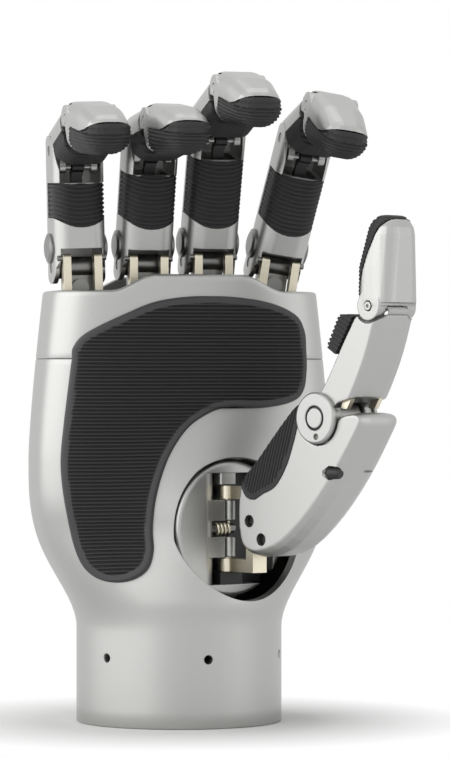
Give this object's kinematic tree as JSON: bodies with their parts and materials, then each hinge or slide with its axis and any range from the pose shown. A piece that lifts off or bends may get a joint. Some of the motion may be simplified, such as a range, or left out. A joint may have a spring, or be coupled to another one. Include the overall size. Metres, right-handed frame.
{
  "type": "dexterous robot hand",
  "caption": "Right-hand robotic gripper with jointed fingers and an opposable thumb on a round wrist collar, with ribbed rubber grip pads.",
  "frame": {"origin": "centre of the wrist collar's end face", "axes": "+Z from the wrist to the fingers, -Y out of the palm, +X to the thumb side"},
  "size_m": [0.0939, 0.1119, 0.1909],
  "materials": {
    "anodised_shell": "satin",
    "rubber_pad": "ribbed matte",
    "machined_steel": "machined",
    "nickel_links": "nickel plated",
    "black_plastic": "matte",
    "circuit_board": "lacquered"
  },
  "bodies": {
    "root": {"palm_shell": "anodised_shell", "knuckle_shell": "anodised_shell", "palm_pad": "rubber_pad", "palm_frame": "machined_steel", "finger_actuators": "black_plastic", "thumb_actuator": "black_plastic", "control_board": "circuit_board"},
    "pinky_knuckle": {"pinky_knuckle": "machined_steel"},
    "pinky_proximal": {"pinky_proximal_shell": "anodised_shell", "pinky_proximal_pad": "rubber_pad", "pinky_pins": "machined_steel"},
    "pinky_bars": {"pinky_drive_bars": "nickel_links"},
    "pinky_rod": {"pinky_curl_rod": "black_plastic"},
    "pinky_middle": {"pinky_middle_shell": "anodised_shell", "pinky_middle_pad": "rubber_pad"},
    "pinky_distal": {"pinky_distal_shell": "anodised_shell", "pinky_distal_pad": "rubber_pad"},
    "ring_knuckle": {"ring_knuckle": "machined_steel"},
    "ring_proximal": {"ring_proximal_shell": "anodised_shell", "ring_proximal_pad": "rubber_pad", "ring_pins": "machined_steel"},
    "ring_bars": {"ring_drive_bars": "nickel_links"},
    "ring_rod": {"ring_curl_rod": "black_plastic"},
    "ring_middle": {"ring_middle_shell": "anodised_shell", "ring_middle_pad": "rubber_pad"},
    "ring_distal": {"ring_distal_shell": "anodised_shell", "ring_distal_pad": "rubber_pad"},
    "middle_knuckle": {"middle_knuckle": "machined_steel"},
    "middle_proximal": {"middle_proximal_shell": "anodised_shell", "middle_proximal_pad": "rubber_pad", "middle_pins": "machined_steel"},
    "middle_bars": {"middle_drive_bars": "nickel_links"},
    "middle_rod": {"middle_curl_rod": "black_plastic"},
    "middle_middle": {"middle_middle_shell": "anodised_shell", "middle_middle_pad": "rubber_pad"},
    "middle_distal": {"middle_distal_shell": "anodised_shell", "middle_distal_pad": "rubber_pad"},
    "index_knuckle": {"index_knuckle": "machined_steel"},
    "index_proximal": {"index_proximal_shell": "anodised_shell", "index_proximal_pad": "rubber_pad", "index_pins": "machined_steel"},
    "index_bars": {"index_drive_bars": "nickel_links"},
    "index_rod": {"index_curl_rod": "black_plastic"},
    "index_middle": {"index_middle_shell": "anodised_shell", "index_middle_pad": "rubber_pad"},
    "index_distal": {"index_distal_shell": "anodised_shell", "index_distal_pad": "rubber_pad"},
    "thumb_base": {"thumb_turntable": "anodised_shell", "thumb_base_pin": "nickel_links", "thumb_worm": "nickel_links", "thumb_stop_block": "black_plastic"},
    "thumb_metacarpal": {"thumb_bracket": "nickel_links", "thumb_metacarpal_shell": "anodised_shell", "thumb_metacarpal_pad": "rubber_pad"},
    "thumb_proximal": {"thumb_proximal_shell": "anodised_shell", "thumb_proximal_pad": "rubber_pad", "thumb_caps": "anodised_shell", "thumb_links": "nickel_links"},
    "thumb_distal": {"thumb_distal_shell": "anodised_shell", "thumb_distal_pad": "rubber_pad"}
  },
  "joints": [
    {"name": "pinky_spread", "type": "hinge", "parent": "root", "child": "pinky_knuckle", "pos_m": [-0.03124, 0, 0.1285], "axis": [0, 1, 0], "range_deg": [-2, 4]},
    {"name": "pinky_knuckle_bend", "type": "hinge", "parent": "pinky_knuckle", "child": "pinky_proximal", "pos_m": [-0.03145, 0, 0.1345], "axis": [0.9994, 0, 0.0349], "range_deg": [-6, 62]},
    {"name": "pinky_middle_bend", "type": "hinge", "parent": "pinky_proximal", "child": "pinky_middle", "pos_m": [-0.03266, -0.00181, 0.16893], "axis": [0.9994, 0, 0.0349], "range_deg": [-69.5, 22.5]},
    {"name": "pinky_tip_bend", "type": "hinge", "parent": "pinky_middle", "child": "pinky_distal", "pos_m": [-0.03294, -0.02022, 0.17703], "axis": [0.9994, 0, 0.0349], "range_deg": [-25, 8.4]},
    {"name": "pinky_bars_swing", "type": "hinge", "parent": "pinky_proximal", "child": "pinky_bars", "pos_m": [-0.03155, -0.00615, 0.13718], "axis": [0.9994, 0, 0.0349], "range_deg": [-63, 7]},
    {"name": "pinky_rod_swing", "type": "hinge", "parent": "pinky_middle", "child": "pinky_rod", "pos_m": [-0.03248, -0.00444, 0.16389], "axis": [0.9994, 0, 0.0349], "range_deg": [-23.5, 70.5]},
    {"name": "ring_spread", "type": "hinge", "parent": "root", "child": "ring_knuckle", "pos_m": [-0.01134, 0, 0.1295], "axis": [0, 1, 0], "range_deg": [-4, 4]},
    {"name": "ring_knuckle_bend", "type": "hinge", "parent": "ring_knuckle", "child": "ring_proximal", "pos_m": [-0.01134, 0, 0.1355], "axis": [1, 0, 0], "range_deg": [-16, 60]},
    {"name": "ring_middle_bend", "type": "hinge", "parent": "ring_proximal", "child": "ring_middle", "pos_m": [-0.01134, -0.00844, 0.17204], "axis": [1, 0, 0], "range_deg": [-71.5, 20.5]},
    {"name": "ring_tip_bend", "type": "hinge", "parent": "ring_middle", "child": "ring_distal", "pos_m": [-0.01134, -0.02763, 0.1761], "axis": [1, 0, 0], "range_deg": [-9.5, 3.1]},
    {"name": "ring_bars_swing", "type": "hinge", "parent": "ring_proximal", "child": "ring_bars", "pos_m": [-0.01134, -0.00652, 0.13707], "axis": [1, 0, 0], "range_deg": [-61, 17]},
    {"name": "ring_rod_swing", "type": "hinge", "parent": "ring_middle", "child": "ring_rod", "pos_m": [-0.01134, -0.00997, 0.16656], "axis": [1, 0, 0], "range_deg": [-21.5, 72.5]},
    {"name": "middle_spread", "type": "hinge", "parent": "root", "child": "middle_knuckle", "pos_m": [0.00856, 0, 0.1305], "axis": [0, 1, 0], "range_deg": [-4, 4]},
    {"name": "middle_knuckle_bend", "type": "hinge", "parent": "middle_knuckle", "child": "middle_proximal", "pos_m": [0.00856, 0, 0.1365], "axis": [1, 0, 0], "range_deg": [-19, 56]},
    {"name": "middle_middle_bend", "type": "hinge", "parent": "middle_proximal", "child": "middle_middle", "pos_m": [0.00856, -0.01158, 0.17687], "axis": [1, 0, 0], "range_deg": [-56, 30]},
    {"name": "middle_tip_bend", "type": "hinge", "parent": "middle_middle", "child": "middle_distal", "pos_m": [0.00856, -0.03182, 0.18576], "axis": [1, 0, 0], "range_deg": [-28.5, 15.5]},
    {"name": "middle_bars_swing", "type": "hinge", "parent": "middle_proximal", "child": "middle_bars", "pos_m": [0.00856, -0.00659, 0.13773], "axis": [1, 0, 0], "range_deg": [-57, 20]},
    {"name": "middle_rod_swing", "type": "hinge", "parent": "middle_middle", "child": "middle_rod", "pos_m": [0.00856, -0.01426, 0.17186], "axis": [1, 0, 0], "range_deg": [-31, 57]},
    {"name": "index_spread", "type": "hinge", "parent": "root", "child": "index_knuckle", "pos_m": [0.02846, 0, 0.1295], "axis": [0, 1, 0], "range_deg": [-12, 2]},
    {"name": "index_knuckle_bend", "type": "hinge", "parent": "index_knuckle", "child": "index_proximal", "pos_m": [0.02934, 0, 0.13543], "axis": [0.989, 0, -0.1478], "range_deg": [-23.5, 12]},
    {"name": "index_middle_bend", "type": "hinge", "parent": "index_proximal", "child": "index_middle", "pos_m": [0.03481, -0.01383, 0.17203], "axis": [0.989, 0, -0.1478], "range_deg": [-52.5, 20]},
    {"name": "index_tip_bend", "type": "hinge", "parent": "index_middle", "child": "index_distal", "pos_m": [0.03603, -0.03327, 0.18018], "axis": [0.989, 0, -0.1478], "range_deg": [-37.5, 14.6]},
    {"name": "index_bars_swing", "type": "hinge", "parent": "index_proximal", "child": "index_bars", "pos_m": [0.02945, -0.00667, 0.13614], "axis": [0.989, 0, -0.1478], "range_deg": [-13, 24.5]},
    {"name": "index_rod_swing", "type": "hinge", "parent": "index_middle", "child": "index_rod", "pos_m": [0.03406, -0.01643, 0.16702], "axis": [0.989, 0, -0.1478], "range_deg": [-21, 53.5]},
    {"name": "thumb_turn", "type": "hinge", "parent": "root", "child": "thumb_base", "pos_m": [0.0107, -0.019, 0.0577], "axis": [0.342, -0.9397, 0], "range_deg": [-45, 25]},
    {"name": "thumb_swing", "type": "hinge", "parent": "thumb_base", "child": "thumb_metacarpal", "pos_m": [0.00988, -0.01674, 0.0577], "axis": [0, 0, 1], "range_deg": [-25, 25]},
    {"name": "thumb_bend", "type": "hinge", "parent": "thumb_metacarpal", "child": "thumb_proximal", "pos_m": [0.03056, -0.05635, 0.0905], "axis": [0.8829, 0.4695, 0], "range_deg": [-35, 8]},
    {"name": "thumb_tip_bend", "type": "hinge", "parent": "thumb_proximal", "child": "thumb_distal", "pos_m": [0.03957, -0.0733, 0.1221], "axis": [0.8829, 0.4695, 0], "range_deg": [-28.5, 6.9]}
  ],
  "couplings": [
    {"joint": "pinky_tip_bend", "follows": "pinky_middle_bend", "ratio": 0.3525},
    {"joint": "pinky_bars_swing", "follows": "pinky_knuckle_bend", "ratio": -1},
    {"joint": "pinky_rod_swing", "follows": "pinky_middle_bend", "ratio": -1},
    {"joint": "ring_tip_bend", "follows": "ring_middle_bend", "ratio": 0.1259},
    {"joint": "ring_bars_swing", "follows": "ring_knuckle_bend", "ratio": -1},
    {"joint": "ring_rod_swing", "follows": "ring_middle_bend", "ratio": -1},
    {"joint": "middle_tip_bend", "follows": "middle_middle_bend", "ratio": 0.5},
    {"joint": "middle_bars_swing", "follows": "middle_knuckle_bend", "ratio": -1},
    {"joint": "middle_rod_swing", "follows": "middle_middle_bend", "ratio": -1},
    {"joint": "index_tip_bend", "follows": "index_middle_bend", "ratio": 0.7048},
    {"joint": "index_bars_swing", "follows": "index_knuckle_bend", "ratio": -1},
    {"joint": "index_rod_swing", "follows": "index_middle_bend", "ratio": -1},
    {"joint": "thumb_tip_bend", "follows": "thumb_bend", "ratio": 0.8}
  ]
}
